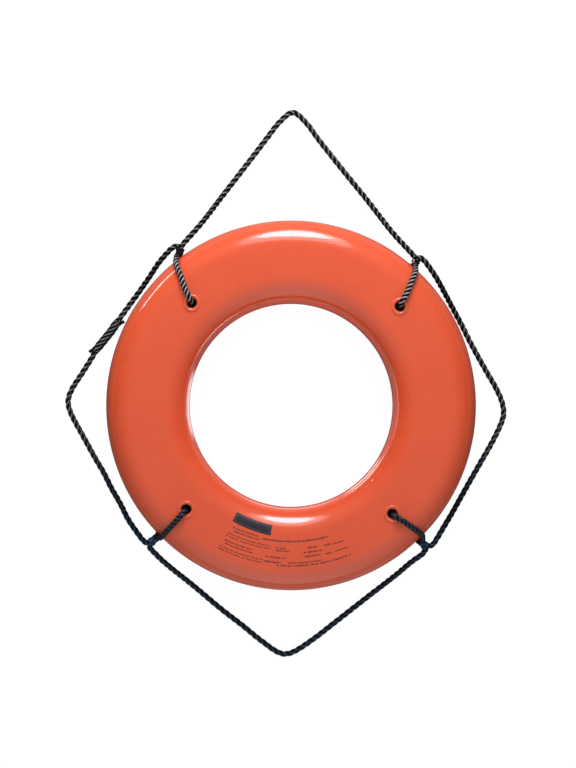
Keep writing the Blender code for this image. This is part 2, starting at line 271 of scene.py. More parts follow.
def evenly(points, spacing):
    """The same line as evenly spaced points, first and last kept."""
    points = np.array(points)
    steps = np.linalg.norm(np.diff(points, axis=0), axis=1)
    travelled = np.concatenate(([0.0], np.cumsum(steps)))
    goals = np.linspace(0, travelled[-1], round(travelled[-1] / spacing) + 1)
    return np.stack([np.interp(goals, travelled, points[:, axis]) for axis in range(3)], axis=1)


# The whole grab line as one closed line, in the order in which the rope runs
RUNS = (
    ("left", bight_line(LEFT_ROUTE, ("upper_left", -1), ("lower_left", -1))),
    ("lower_left", loop_line("lower_left", -1)),
    ("bottom", bight_line(BOTTOM_ROUTE, ("lower_left", 1), ("lower_right", 1))),
    ("lower_right", loop_line("lower_right", 1)),
    ("right", bight_line(RIGHT_ROUTE, ("upper_right", 1), ("lower_right", -1))[::-1]),
    ("upper_right", loop_line("upper_right", 1)),
    ("top", bight_line(TOP_ROUTE, ("upper_left", 1), ("upper_right", -1))[::-1]),
    ("upper_left", loop_line("upper_left", 1)),
)

# The printed panel on the front: two distances from the axis, two angles, and its slant
PANEL = (0.1936, 0.2098, -116.9, -99.0, 0.0032)

# The printed lines: distance from the axis, first and last angle, thickness
RULES = (
    (0.2172, -115.6, -103.6, 0.0010), (0.2222, -114.4, -103.2, 0.0010),
    (0.2290, -116.6, -98.6, 0.0008), (0.2336, -116.8, -98.2, 0.0008),
    (0.2412, -116.4, -105.2, 0.0010), (0.2460, -115.8, -104.6, 0.0010),
    (0.2535, -117.2, -100.4, 0.0008), (0.2580, -117.2, -100.2, 0.0008),
    (0.2190, -101.8, -74.1, 0.0014), (0.2312, -96.0, -92.2, 0.0010),
    (0.2352, -96.0, -90.8, 0.0010), (0.2308, -83.4, -79.3, 0.0014),
    (0.2379, -85.1, -77.8, 0.0014), (0.2446, -84.7, -78.7, 0.0014),
    (0.2340, -73.2, -68.8, 0.0007), (0.2463, -73.1, -68.2, 0.0007),
    (0.2317, -76.5, -74.1, 0.0012), (0.2458, -76.6, -74.3, 0.0012),
    (0.2464, -99.6, -92.0, 0.0012), (0.2541, -99.8, -93.7, 0.0014),
    (0.2543, -91.0, -79.0, 0.0010), (0.2586, -95.3, -68.1, 0.0012),
)
PRINT_LIFT = 0.00018
PRINT_T = 0.00012

# A thicker line than this is a row of marks, in cells of so many degrees, with a gap after each of
# these numbers of cells in turn. Marks and plain lines are drawn this many times as wide.
LINE_T = 0.00075
PRINT_CELL = 0.17
WORDS = (11, 6, 14, 9, 5, 17, 8)
MARK_SPREAD = 1.75
LINE_SPREAD = 1.35

# How finely other print follows the skin, in degrees and in metres
PRINT_TURN = 0.75
PRINT_REACH = 0.002

# The laid rope: the spacing of its points, its strands' radius, how far they lie from its middle,
# and how much they're pressed in the line's lower part, which sets in between two places along Y
POINT_GAP = 0.0012
STRAND_R = 0.00245
STRAND_OUT = 0.0025
STRAND_PRESS = 0.00042
LOWER_FROM, LOWER_TO = 0.02, -0.16
SIDES = 12

# How far the rope runs for one turn of its strands
LAY_FREE = 0.034
LAY_TAUT = 0.0225
LAY_SPLICE = 0.060

# The splice: where it begins and ends along the line, and how its strands spread, rise and end.
# Their tails move out, and get thinner down to a share of their radius.
SPLICE_FROM, SPLICE_TO = 0.166, 0.230
SPLICE_OUT = 2 * STRAND_R
SPLICE_LIFT = 0.0030
TAIL_OUT = 0.0012
TAIL_L = 0.012
TAIL_R = 0.72
CUT_END = 0.011
CUT_STEPS = 12

# How often the line and the lengths of lay are smoothed
LINE_ROUNDS, LAY_ROUNDS = 6, 400

# Into how many sides the ring's section, the ring itself, and the eyelets and sleeves are divided
SECTION_SIDES, RING_STEPS, TUBE_SIDES = 96, 288, 64


def smoothstep(low, high, values):
    share = np.clip((values - low) / (high - low), 0, 1)
    return share * share * (3 - 2 * share)


def in_splice(away, before, within):
    """1 in the splice and 0 beyond it. The change starts before each end and is done within."""
    begun = smoothstep(SPLICE_FROM - before, SPLICE_FROM + within, away)
    return begun * (1 - smoothstep(SPLICE_TO - within, SPLICE_TO + before, away))


def closed_line():
    """The grab line's points, and for each run the index of its first and last point."""
    line, marks = [], {}
    for name, points in RUNS:
        even = evenly(points, POINT_GAP)
        marks[name] = (len(line), len(line) + len(even) - 1)
        line.extend(even[:-1])
    line = np.array(line)
    for _ in range(LINE_ROUNDS):
        line = (np.roll(line, 1, axis=0) + 2 * line + np.roll(line, -1, axis=0)) / 4
    away = np.arange(len(line)) * POINT_GAP
    lowest = ROPE_R + CLEAR + in_splice(away, 0.02, 0.0) * SPLICE_LIFT
    line[:, 2] = np.maximum(line[:, 2], lowest)
    return np.vstack((line, line[:1])), marks


def frames_along(line):
    """Tangents and normals that don't twist along a closed line, and the turn left at its end."""
    ahead = np.roll(line[:-1], -1, axis=0) - np.roll(line[:-1], 1, axis=0)
    tangents = ahead / np.linalg.norm(ahead, axis=1)[:, None]
    tangents = np.vstack((tangents, tangents[:1]))
    normals = [unit(np.cross(tangents[0], (0.0, 0.0, 1.0)))]
    for index in range(len(line) - 1):
        step = line[index + 1] - line[index]
        size = step @ step
        normal = normals[-1] - step * (2 / size) * (step @ normals[-1])
        middle = tangents[index] - step * (2 / size) * (step @ tangents[index])
        turn = tangents[index + 1] - middle
        size = turn @ turn
        if size > 1e-18:
            normal = normal - turn * (2 / size) * (turn @ normal)
        normals.append(unit(normal - tangents[index + 1] * (normal @ tangents[index + 1])))
    side = np.cross(tangents[0], normals[0])
    left_over = math.atan2(normals[-1] @ side, normals[-1] @ normals[0])
    return tangents, np.array(normals), left_over


LINE, MARKS = closed_line()
TANGENTS, NORMALS, LEFT_OVER = frames_along(LINE)
SIDEWAYS = np.cross(TANGENTS, NORMALS)
STEPS = np.linalg.norm(np.diff(LINE, axis=0), axis=1)
TRAVELLED = np.concatenate(([0.0], np.cumsum(STEPS)))


def lay_lengths():
    """How far the rope runs for each full turn of its strands, tighter where it's held taut."""
    lay = np.full(len(LINE), LAY_FREE)
    for corner in CORNERS:
        first, last = MARKS[corner]
        lay[first:last] = LAY_TAUT
    for _ in range(LAY_ROUNDS):
        lay = (np.roll(lay, 1) + 2 * lay + np.roll(lay, -1)) / 4
    return lay + (LAY_SPLICE - lay) * in_splice(TRAVELLED, 0.01, 0.01)


def strand_phases():
    """The strands' angle round the rope, which closes on itself where the rope does."""
    turns = np.concatenate(([0.0], np.cumsum(STEPS / lay_lengths()[:-1]))) * math.tau
    short = -(turns[-1] + THIRD / 2 + LEFT_OVER) % THIRD
    if short > THIRD / 2:
        short -= THIRD
    return turns + short * TRAVELLED / TRAVELLED[-1]


PHASES = strand_phases()


def strand(first, last, phase, tail_at_start=False, tail_at_end=False):
    """One strand between two points of the line: the points and radii of its own centre line."""
    span = slice(first, last + 1)
    angle = PHASES[span] + phase
    ring = np.cos(angle)[:, None] * NORMALS[span] + np.sin(angle)[:, None] * SIDEWAYS[span]
    away = TRAVELLED[span]
    pressed = STRAND_PRESS * smoothstep(LOWER_FROM, LOWER_TO, LINE[span, 1])
    out = STRAND_OUT - pressed
    radii = STRAND_R + pressed
    out = out + (SPLICE_OUT - STRAND_OUT) * in_splice(away, 0.006, 0.012)
    for tail, reach in ((tail_at_start, away - away[0]), (tail_at_end, away[-1] - away)):
        if tail:
            out = out + TAIL_OUT * (1 - smoothstep(0.0, TAIL_L, reach))
            radii = radii * (TAIL_R + (1 - TAIL_R) * smoothstep(0.0, TAIL_L / 2, reach))
    return LINE[span] + ring * out[:, None], ring, radii


def rope_piece(name, strands):
    """A mesh of laid strands, each with a UV map of metres along it and shares of a turn round it.

    Its attribute "level" is 1 where the rope's surface faces up or down, and 0 where it's upright.
    The rope's finish paints its crest highlights where it is high.
    """
    verts, faces, uvs, level = [], [], [], []
    for centres, ring, radii in strands:
        base = len(verts)
        count = len(centres)
        ahead = np.gradient(centres, axis=0)
        ahead /= np.linalg.norm(ahead, axis=1)[:, None]
        outward = ring - ahead * np.sum(ring * ahead, axis=1)[:, None]
        outward /= np.linalg.norm(outward, axis=1)[:, None]
        across = np.cross(ahead, outward)
        for index in range(SIDES):
            angle = math.tau * index / SIDES
            spoke = outward * math.cos(angle) + across * math.sin(angle)
            verts.append(centres + spoke * radii[:, None])
            level.append(np.abs(spoke[:, 2]))
        verts.append(centres[[0, -1]])
        level.append(np.zeros(2))
        steps = np.linalg.norm(np.diff(centres, axis=0), axis=1)
        along = np.concatenate(([0.0], np.cumsum(steps)))
        start = sum(len(block) for block in verts[:base])
        for index in range(SIDES):
            near, far = start + index * count, start + (index + 1) % SIDES * count
            low, high = index / SIDES, (index + 1) / SIDES
            for step in range(count - 1):
                faces.append((near + step, far + step, far + step + 1, near + step + 1))
                uvs += [(along[step], low), (along[step], high)]
                uvs += [(along[step + 1], high), (along[step + 1], low)]
            hub = start + SIDES * count
            faces.append((near, hub, far))
            uvs += [(0.0, low), (0.0, low), (0.0, high)]
            faces.append((near + count - 1, far + count - 1, hub + 1))
            uvs += [(along[-1], low), (along[-1], high), (along[-1], low)]
    mesh = bpy.data.meshes.new(name)
    mesh.from_pydata(np.vstack(verts).tolist(), [], faces)
    layer = mesh.uv_layers.new(name="lay")
    layer.data.foreach_set("uv", np.array(uvs, dtype=np.float32).ravel())
    wear = mesh.attributes.new("level", "FLOAT", "POINT")
    wear.data.foreach_set("value", np.concatenate(level).astype(np.float32))
    mesh.shade_smooth()
    piece = bpy.data.objects.new(name, mesh)
    bpy.context.scene.collection.objects.link(piece)
    return piece


# Finishes


class Socket:
    """A node's output, on which arithmetic adds Math nodes."""

    def __init__(self, finish, out):
        self.finish, self.out = finish, out

    def reckon(self, operation, *values):
        return self.finish.node("Math", {"operation": operation}, *values)

    def __add__(self, other):
        return self.reckon("ADD", self, other)

    def __radd__(self, other):
        return self.reckon("ADD", other, self)

    def __sub__(self, other):
        return self.reckon("SUBTRACT", self, other)

    def __rsub__(self, other):
        return self.reckon("SUBTRACT", other, self)

    def __mul__(self, other):
        return self.reckon("MULTIPLY", self, other)

    def sine(self):
        return self.reckon("SINE", self)

    def ramp(self, low, high):
        """0 below low and 1 above high, smooth between; high may be the lower one."""
        settings = {"interpolation_type": "SMOOTHSTEP"}
        return self.finish.node("MapRange", settings, self, low, high)

    def band(self, low, full, fading, high):
        """1 from full to fading, and 0 below low and above high."""
        return self.ramp(low, full) * self.ramp(high, fading)


class Wiring:
    """A node tree as it's made."""

    def __init__(self, tree):
        self.tree = tree

    def feed(self, node, values):
        for key, value in values.items():
            if isinstance(value, Socket):
                self.tree.links.new(value.out, node.inputs[key])
            else:
                node.inputs[key].default_value = value

    def node(self, kind, settings, *values, out=0, **named):
        """Add a node: its settings first, then its inputs in order or by name."""
        made = self.tree.nodes.new("ShaderNode" + kind)
        for key, value in settings.items():
            setattr(made, key, value)
        self.feed(made, dict(enumerate(values)))
        self.feed(made, {key.replace("_", " "): value for key, value in named.items()})
        return Socket(self, made.outputs[out])

    def parts(self, vector):
        """The three parts of a vector."""
        split = self.node("SeparateXYZ", {}, vector).out.node
        return [Socket(self, out) for out in split.outputs]

    def facing(self, way, azimuth, elevation=0.0):
        """How squarely a direction points this way round the ring and this high, at most 1."""
        goal = heading(azimuth, elevation)
        return self.node("VectorMath", {"operation": "DOT_PRODUCT"}, way, goal, out="Value")

    def place(self, scale=(1.0, 1.0, 1.0)):
        """Object coordinates, stretched."""
        where = self.node("TexCoord", {}, out="Object")
        return self.node("Mapping", {}, Vector=where, Scale=scale)

    def noise(self, scale, detail=3.0, roughness=0.5, vector=None):
        named = {"Scale": scale, "Detail": detail, "Roughness": roughness}
        return self.node("TexNoise", {}, Vector=vector or self.place(), **named)

    def mix(self, share, first, second):
        """From one colour to another as the share goes from 0 to 1."""
        made = self.tree.nodes.new("ShaderNodeMix")
        made.data_type = "RGBA"
        self.feed(made, {0: share, 6: first, 7: second})
        return Socket(self, made.outputs[2])

    def bump(self, height, distance, strength=1.0, normal=None):
        named = {"Height": height, "Distance": distance, "Strength": strength}
        if normal:
            named["Normal"] = normal
        return self.node("Bump", {}, **named)


class Finish(Wiring):
    """A material as it's made: its nodes, and the shader that they feed."""

    def __init__(self, name, **constants):
        self.material = bpy.data.materials.new(name)
        self.material.use_nodes = True
        super().__init__(self.material.node_tree)
        self.shader = self.tree.nodes["Principled BSDF"]
        self.shade(**constants)

    def shade(self, **values):
        self.feed(self.shader, {key.replace("_", " "): value for key, value in values.items()})
        return self.material


def colour(red, green, blue):
    return (red, green, blue, 1.0)


def orange_vinyl(name, pale, dull):
    """Glossy moulded skin: a little mottled, with orange peel, soft waves and a few fine scuffs.

    It's paler by a share of cream, and duller by an addition to its roughness.
    """
    finish = Finish(name, Specular_IOR_Level=0.6)
    patches = finish.noise(9.0, 2.0).ramp(0.35, 0.70)
    specks = finish.noise(70.0, 4.0, 0.6).ramp(0.4, 0.65)
    plain = finish.mix(patches, colour(0.820, 0.104, 0.035), colour(0.800, 0.097, 0.033))
    skin = finish.mix(specks * 0.35, plain, colour(0.820, 0.112, 0.046))
    skin = finish.mix(pale, skin, colour(0.950, 0.750, 0.500))
    smears = finish.noise(24.0, 5.0, 0.6, finish.place((1.0, 2.5, 1.0)))
    gloss = 0.11 + dull + smears.ramp(0.45, 0.75) * 0.05
    waves = finish.bump(finish.noise(11.0, 1.0), 0.004, 0.25)
    peel = finish.bump(finish.noise(420.0, 2.0), 0.00006, 0.5, waves)
    return finish.shade(Base_Color=skin, Roughness=gloss, Normal=peel)


def foam():
    """Fine-celled pale foam, for the core, which isn't seen."""
    finish = Finish("foam")
    cells = finish.node("TexVoronoi", {}, Vector=finish.place(), Scale=900.0)
    tone = finish.mix(cells, colour(0.70, 0.68, 0.60), colour(0.84, 0.82, 0.76))
    return finish.shade(Base_Color=tone, Roughness=0.9, Normal=finish.bump(cells, 0.0004))


def rope_fibre():
    """Black laid filament: yarns that run back along the rope on each strand, and pale crests.

    The lower half of the line is a dark navy. The pale crests are a painted highlight: they show
    where the strands face up or down, and are palest where the rope lies over the ring's face.
    """
    finish = Finish("rope_fibre", Specular_IOR_Level=0.22)
    along, around, _ = finish.parts(finish.node("UVMap", {"uv_map": "lay"}))
    turned = around * 9.0 + along * 290.0
    yarns = (turned * math.tau).sine()
    strands = finish.node("CombineXYZ", {}, along * 260.0, turned * 2.2, 0.0)
    hairs = finish.noise(1.0, 3.0, 0.6, strands)
    crest = ((around + 0.25) * math.tau).sine()
    level = finish.node("Attribute", {"attribute_name": "level"}, out=2)
    across, upward, height = finish.parts(finish.node("TexCoord", {}, out="Object"))
    lower_part = upward.ramp(LOWER_FROM, LOWER_TO)
    flat = finish.node("CombineXYZ", {}, across, upward, 0.0)
    over_ring = finish.node("VectorMath", {"operation": "LENGTH"}, flat, out=1).ramp(0.318, 0.300)
    on_face = height.ramp(0.055, 0.095) * over_ring
    # The share worn is a painted highlight on the crests: narrow on the free bights, wider and
    # paler where the rope lies over the ring's face, and only where the strands face up or down.
    free = crest.ramp(0.86, 0.99) * level.ramp(0.62, 0.97)
    held = crest.ramp(0.82, 0.98) * level.ramp(0.15, 0.65)
    worn = (free + on_face * (held - free)) * hairs.ramp(0.20, 0.55)
    pale = finish.mix(on_face, colour(0.260, 0.260, 0.260), colour(0.440, 0.435, 0.430))
    black = finish.mix(worn, colour(0.001, 0.001, 0.002), pale)
    blue = finish.mix(on_face, colour(0.012, 0.075, 0.135), colour(0.030, 0.050, 0.065))
    navy = finish.mix(worn, colour(0.001, 0.006, 0.014), blue)
    sheen = 0.22 + hairs.ramp(0.3, 0.7) * 0.12
    lobes = finish.bump(yarns, 0.00016, 0.5)
    fuzz = finish.bump(hairs, 0.00012, 0.35, lobes)
    return finish.shade(Base_Color=finish.mix(lower_part, black, navy), Roughness=sheen, Normal=fuzz)


def sleeve_plastic():
    """Smooth shrunk sleeve, faintly ribbed by the rope beneath, and navy towards the bottom of the
    line as the rope is.

    The upper right one has a short painted highlight.
    """
    finish = Finish("sleeve_plastic", Specular_IOR_Level=0.3)
    marks = finish.noise(180.0, 3.0)
    across, upward, _ = finish.parts(finish.node("TexCoord", {}, out="Object"))
    lower_part = upward.ramp(LOWER_FROM, LOWER_TO)
    black = finish.mix(marks, colour(0.001, 0.002, 0.006), colour(0.004, 0.006, 0.014))
    # Painted highlight: a short pale strip on the upper right sleeve's left side.
    painted_glint = across.band(0.1998, 0.2006, 0.2025, 0.2031)
    painted_glint = painted_glint * upward.band(0.2335, 0.2349, 0.2426, 0.2440)
    black = finish.mix(painted_glint, black, colour(0.600, 0.680, 0.820))
    navy = finish.mix(marks, colour(0.002, 0.024, 0.062), colour(0.004, 0.048, 0.125))
    dents = finish.bump(marks, 0.0008, 0.4)
    return finish.shade(Base_Color=finish.mix(lower_part, black, navy), Roughness=0.20, Normal=dents)


def print_ink(name, fresh, worn):
    """Ink that has worn off in small spots, where it shows another colour."""
    finish = Finish(name)
    wear = finish.noise(500.0, 4.0, 0.7).ramp(0.35, 0.75)
    return finish.shade(Base_Color=finish.mix(wear, fresh, worn), Roughness=0.35)


ORANGE = orange_vinyl("orange_vinyl", 0.0, 0.0)
# The eyelets' paler copy of the orange is a painted highlight, for the pale crescents on their
# lips.
LIP_ORANGE = orange_vinyl("lip_vinyl", 0.035, 0.06)
FOAM = foam()
ROPE = rope_fibre()
SLEEVE = sleeve_plastic()
INK = print_ink("print_ink", colour(0.008, 0.010, 0.020), colour(0.040, 0.020, 0.026))
BORDER = print_ink("border_ink", colour(0.050, 0.110, 0.150), colour(0.090, 0.120, 0.150))


# The camera stands where the photograph was taken from, straight above the front of the ring


def make_camera():
    lens = bpy.data.cameras.new("camera")
    lens.lens = 76.71
    lens.sensor_width = 36.0
    lens.clip_start, lens.clip_end = 0.1, 20.0
    camera = bpy.data.objects.new("camera", lens)
    camera.location = (-0.005, 0.0353, 2.756)
    bpy.context.scene.collection.objects.link(camera)
    bpy.context.scene.camera = camera


make_camera()


# The grab line


def dress(piece, material):
    """Give the piece this material and no other."""
    piece.data.materials.clear()
    piece.data.materials.append(material)


def hinge_side(swing):
    """A point on a bight's hinge line, and the level direction from it towards the bight."""
    joint = next(j for j in frame["joints"] if j["name"] == swing + "_swing")
    point, axis = Vector(joint["pos_m"]), Vector(joint["axis"])
    outward = axis.cross(Vector((0.0, 0.0, 1.0)))
    outward.normalize()
    if outward.dot(Vector((point.x, point.y, 0.0))) < 0:
        outward.negate()
    return point, outward


def make_cut_end(name, index, heading_back, toward):
    """The cut end of the strand nearest this side of the splice, which stands out from it."""
    rings = []
    for turn in range(6):
        angle = PHASES[index] + turn * math.tau / 6
        rings.append(math.cos(angle) * NORMALS[index] + math.sin(angle) * SIDEWAYS[index])
    ring = max(rings, key=lambda ring: ring @ toward)
    ahead = -TANGENTS[index] if heading_back else TANGENTS[index]
    bend = smoothstep(0.0, 1.0, np.linspace(0, 1, CUT_STEPS))[:, None]
    reach = np.linspace(0, CUT_END, CUT_STEPS)[:, None]
    apart, overlap, spread, swollen, blunt = 0.0004, 0.005, 0.36, 1.12, 0.8
    centres = LINE[index] + ring * (SPLICE_OUT + apart) - ahead * overlap
    centres = centres + reach * (ahead + ring * spread * bend)
    radii = np.full(CUT_STEPS, STRAND_R * swollen)
    radii[-1] *= blunt
    piece = rope_piece(name, [(centres, np.tile(ring, (CUT_STEPS, 1)), radii)])
    dress(piece, ROPE)
    return piece


def make_bights():
    """The free bights, which bend where they leave the sleeves."""
    second = THIRD / 2
    tail = int(np.searchsorted(TRAVELLED, SPLICE_TO))
    head = int(np.searchsorted(TRAVELLED, SPLICE_FROM))
    for swing in ("left", "bottom", "right", "top"):
        first, last = MARKS[swing]
        parts = []
        for turn in range(3):
            if swing == "left":
                parts.append(strand(first, tail, turn * THIRD, tail_at_end=True))
                parts.append(strand(head, last, turn * THIRD + second, tail_at_start=True))
            else:
                parts.append(strand(first, last, turn * THIRD + second))
        piece = rope_piece("rope_" + swing, parts)
        dress(piece, ROPE)
        nodes = ["grab_line_" + swing]
        if swing == "left":
            nodes = ["grab_line_left_upper", "grab_line_left_lower"]
        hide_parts(*nodes)
        point, outward = hinge_side(swing)
        ends = []
        if swing == "left":
            ends.append(make_cut_end("cut_end_upper", head, True, -unit(LINE[head] * (1, 1, 0))))
            ends.append(make_cut_end("cut_end_lower", tail, False, unit(LINE[tail] * (1, 1, 0))))
        for thing in [piece] + ends:
            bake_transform(thing)


def make_loops():
    """The loops of rope that are held at the four corners."""
    for corner in CORNERS:
        first, last = MARKS[corner]
        parts = [strand(first, last, (turn + 0.5) * THIRD) for turn in range(3)]
        piece = rope_piece("rope_" + corner, parts)
        dress(piece, ROPE)
        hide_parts("rope_loop_" + corner)
        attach(piece, "ring")


make_bights()
make_loops()


# The ring


def deselect():
    bpy.ops.object.select_all(action="DESELECT")


def pick(piece):
    """Make this piece the active one, and the only one that is selected."""
    deselect()
    piece.select_set(True)
    bpy.context.view_layer.objects.active = piece


def named(name):
    """The object that an operator has just made, with its mesh, renamed."""
    piece = bpy.context.active_object
    piece.name = name
    piece.data.name = name
    return piece


def select_where(test):
    """In edit mode, select the vertices that pass the test, and only those."""
    mesh = bmesh.from_edit_mesh(bpy.context.active_object.data)
    for vert in mesh.verts:
        vert.select = test(vert.co)
    mesh.select_flush_mode()
    bmesh.update_edit_mesh(bpy.context.active_object.data)


def tidy_normals(gap=0.00002):
    """In edit mode, join points that are closer than the gap, and turn all faces outwards."""
    bpy.ops.mesh.select_all(action="SELECT")
    bpy.ops.mesh.remove_doubles(threshold=gap)
    bpy.ops.mesh.normals_make_consistent(inside=False)


def settle():
    """Put the active piece's place and turn into its mesh."""
    bpy.ops.object.transform_apply(location=True, rotation=True, scale=True)


def change(piece, kind, **settings):
    """Change the active piece's mesh by a modifier of this kind."""
    modifier = piece.modifiers.new(kind.lower(), kind)
    for key, value in settings.items():
        setattr(modifier, key, value)
    bpy.ops.object.modifier_apply(modifier=modifier.name)


def spin(steps):
    """In edit mode, spin the whole profile once round the vertical axis."""
    bpy.ops.mesh.select_all(action="SELECT")
    bpy.ops.mesh.spin(steps=steps, angle=math.tau, center=(0, 0, 0), axis=(0, 0, 1))
    tidy_normals()
    bpy.ops.object.mode_set(mode="OBJECT")
    settle()


def make_skin():
    """The ring's outside: a round section drawn wide, spun round, and drilled at the corners."""
    deselect()
    bpy.ops.mesh.primitive_circle_add(
        vertices=SECTION_SIDES,
        radius=HALF_H,
        location=(FLANK_C, 0.0, MID_Z),
        rotation=(math.pi / 2, math.pi / SECTION_SIDES, 0.0),
    )
    skin = named("ring_skin")
    settle()
    bpy.ops.object.mode_set(mode="EDIT")
    select_where(lambda place: place.x < FLANK_C)
    bpy.ops.transform.translate(value=(INNER_C - FLANK_C, 0.0, 0.0))
    spin(RING_STEPS)
    for corner, (reach, hole, *_) in CORNERS.items():
        deselect()
        bpy.ops.mesh.primitive_cylinder_add(
            vertices=TUBE_SIDES,
            radius=BARREL_R + CLEAR,
            depth=2 * SECTION_H,
            location=polar(reach, hole, MID_Z),
        )
        drill = named("drill_" + corner)
        pick(skin)
        change(skin, "BOOLEAN", operation="DIFFERENCE", solver="EXACT", object=drill)
        bpy.data.objects.remove(drill)
    bpy.ops.object.shade_smooth_by_angle(angle=math.radians(35))
    dress(skin, ORANGE)
    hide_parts("outer_skin")
    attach(skin, "ring")


def eyelet_profile():
    """The section of an eyelet from the mid plane up, as distances from its axis and heights."""
    mouth = HALF_H - THROAT_RISE + LIP_ROUND
    points = [(THROAT_R, height) for height in np.linspace(0.0, mouth, 6)]
    for angle in np.radians(np.linspace(165, 90, 11)):
        across, up = (LIP_C - THROAT_R) * math.cos(angle), THROAT_RISE * math.sin(angle)
        points.append((LIP_C + across, mouth + up))
    for angle in np.radians(np.linspace(75, -30, 9)):
        points.append((LIP_C + LIP_ROUND * math.cos(angle), HALF_H + LIP_ROUND * math.sin(angle)))
    points += [(BARREL_R, height) for height in np.linspace(HALF_H - LIP_ROUND, 0.0, 6)]
    return points


def make_eyelet():
    """One flanged tube with a trumpet mouth, over whose round lip the rope bends."""
    profile = eyelet_profile()
    deselect()
    bpy.ops.mesh.primitive_circle_add(vertices=len(profile), radius=LIP_ROUND)
    eyelet = named("eyelet")
    for vert, (across, height) in zip(eyelet.data.vertices, profile):
        vert.co = (across, 0.0, height)
    bpy.ops.object.mode_set(mode="EDIT")
    spin(TUBE_SIDES)
    bpy.ops.object.shade_smooth_by_angle(angle=math.radians(50))
    return eyelet


def make_eyelets():
    """The front and rear eyelets, which are alike."""
    model = make_eyelet()
    for corner, (reach, hole, *_) in CORNERS.items():
        for side, turn in (("front", 0.0), ("rear", math.pi)):
            eyelet = model.copy()
            eyelet.data = model.data.copy()
            eyelet.name = "eyelet_" + side + "_" + corner
            bpy.context.scene.collection.objects.link(eyelet)
            eyelet.rotation_euler = (turn, 0.0, 0.0)
            eyelet.location = polar(reach, hole, MID_Z)
            pick(eyelet)
            settle()
            dress(eyelet, LIP_ORANGE)
            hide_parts(side + "_eyelet_" + corner)
            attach(eyelet, "ring")
    bpy.data.objects.remove(model)


def draw_sleeve(length):
    """A thin tube this long with two straight sides, centred on the origin along Z."""
    deselect()
    bpy.ops.mesh.primitive_cylinder_add(
        vertices=TUBE_SIDES, radius=ROPE_R + CLEAR, depth=length, end_fill_type="NOTHING"
    )
    bpy.ops.object.mode_set(mode="EDIT")
    bpy.ops.mesh.select_all(action="SELECT")
    bpy.ops.mesh.subdivide(number_cuts=8)
    tidy_normals()
    for half in (1, -1):
        select_where(lambda place: place.x * half > 1e-5)
        bpy.ops.transform.translate(value=(SEAT * half, 0.0, 0.0))
    bpy.ops.object.mode_set(mode="OBJECT")


def make_sleeves():
    """Shrunk tubes, waisted between the two parts of the rope and belled towards the ring.

    They spread sideways as the front and back run of rope do, and are trimmed at the far end where
    the rope turns before it.
    """
    for corner, (_, _, sleeve_angle, out, _, front, back) in CORNERS.items():
        trim = max(0.0, -front[3])
        draw_sleeve(SLEEVE_L + SKIRT_L - trim)
        sleeve = named("sleeve_" + corner)
        lean = math.tan(math.radians(abs(front[1] - back[1]) / 2))
        for vert in sleeve.data.vertices:
            reach = vert.co.z - (SKIRT_L + trim) / 2
            bell = smoothstep(SLEEVE_L * 0.3, SLEEVE_L / 2 + SKIRT_L, -reach)
            waist = WAIST_DEPTH * math.exp(-((vert.co.x / WAIST_WIDTH) ** 2))
            sideways = math.copysign(1.0, vert.co.y)
            if abs(vert.co.y) > 1e-6:
                vert.co.y += sideways * (abs(reach) * lean * 0.9 - waist)
            vert.co.x *= 1.0 + SLEEVE_BELL * bell
        change(sleeve, "SOLIDIFY", thickness=SLEEVE_WALL, offset=1.0)
        rounding = {"limit_method": "ANGLE", "angle_limit": math.radians(50)}
        change(sleeve, "BEVEL", width=0.0004, segments=3, **rounding)
        forward = polar(1.0, (front[1] + back[1]) / 2)
        ahead = Vector(forward)
        side = ahead.cross(Vector((0.0, 0.0, 1.0)))
        axes = Matrix(((0.0, 0.0, 1.0), -side, ahead))
        sleeve.rotation_mode = "QUATERNION"
        sleeve.rotation_quaternion = axes.transposed().to_quaternion()
        middle = polar(OUTER_R + out, sleeve_angle, MID_Z)
        sleeve.location = middle - forward * ((SKIRT_L + trim) / 2)
        settle()
        bpy.ops.object.shade_smooth_by_angle(angle=math.radians(50))
        dress(sleeve, SLEEVE)
        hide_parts("seizing_sleeve_" + corner)
        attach(sleeve, "ring")


def on_skin(reach, degrees, lift):
    """The point this far from the ring's axis and this far above its front skin."""
    centre = min(max(reach, INNER_C), FLANK_C)
    lean = math.asin((reach - centre) / HALF_H)
    spoke = HALF_H + lift
    return polar(centre + spoke * math.sin(lean), degrees, MID_Z + spoke * math.cos(lean))


def cut_gaps(patch, cells, words):
    """Leave out cells of a row: every third one, and two after each of these numbers of cells."""
    gone, at = set(), 0
    for turn in range(cells):
        at += words[turn % len(words)]
        gone.add(at)
        gone.add(at + 1)
        at += 2
    sheet = bmesh.new()
    sheet.from_mesh(patch.data)
    out = []
    for face in sheet.faces:
        cell = int((face.calc_center_median().x + 1) / 2 * cells)
        if cell in gone or cell % 3 == 2:
            out.append(face)
    bmesh.ops.delete(sheet, geom=out, context="FACES")
    sheet.to_mesh(patch.data)
    sheet.free()


def make_print(name, ink, lift, near, far, start, end, slant=0.0, words=None):
    """A thin printed patch on the front, between two distances from the axis and two angles.

    The slant is how much further out it lies at its end than at its start. With words it's a row of
    small marks with gaps, as many cells long between the gaps as the words say in turn.
    """
    deselect()
    along = max(2, round(abs(end - start) / (PRINT_CELL if words else PRINT_TURN)))
    across = max(2, round((far - near) / PRINT_REACH))
    bpy.ops.mesh.primitive_grid_add(x_subdivisions=along, y_subdivisions=across, size=2.0)
    patch = named(name)
    if words:
        cut_gaps(patch, along, words)
    for vert in patch.data.vertices:
        share, depth = (vert.co.x + 1) / 2, (vert.co.y + 1) / 2
        reach = near + (far - near) * depth + slant * share
        vert.co = on_skin(reach, start + (end - start) * share, lift)
    change(patch, "SOLIDIFY", thickness=PRINT_T, offset=0.0)
    bpy.ops.object.mode_set(mode="EDIT")
    tidy_normals(0.00001)
    bpy.ops.object.mode_set(mode="OBJECT")
    patch.data.materials.append(ink)
    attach(patch, "ring")


